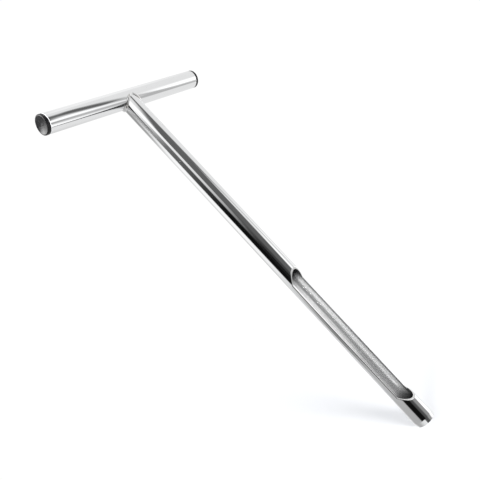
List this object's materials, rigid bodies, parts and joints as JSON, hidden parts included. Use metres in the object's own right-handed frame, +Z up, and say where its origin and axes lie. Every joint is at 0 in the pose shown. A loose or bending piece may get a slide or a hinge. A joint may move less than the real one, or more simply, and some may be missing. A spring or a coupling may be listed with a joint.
{
  "type": "soil sampling probe",
  "caption": "Push-in soil sampling probe: a steel tube with a long side window and a bevelled cutting mouth, welded under a tubular T-handle with plastic end plugs.",
  "frame": {"origin": "centre of the circular cutting edge at the lower end of the shaft", "axes": "+Z up the shaft to the handle, the crossbar along X, the side window facing -Y"},
  "size_m": [0.249, 0.027, 0.533],
  "materials": {
    "polished_steel": "polished",
    "weld_steel": "satin",
    "black_plastic": "gloss"
  },
  "bodies": {
    "root": {"shaft_tube": "polished_steel", "crossbar_tube": "polished_steel", "weld_bead": "weld_steel", "left_end_plug": "black_plastic", "right_end_plug": "black_plastic"}
  },
  "joints": []
}
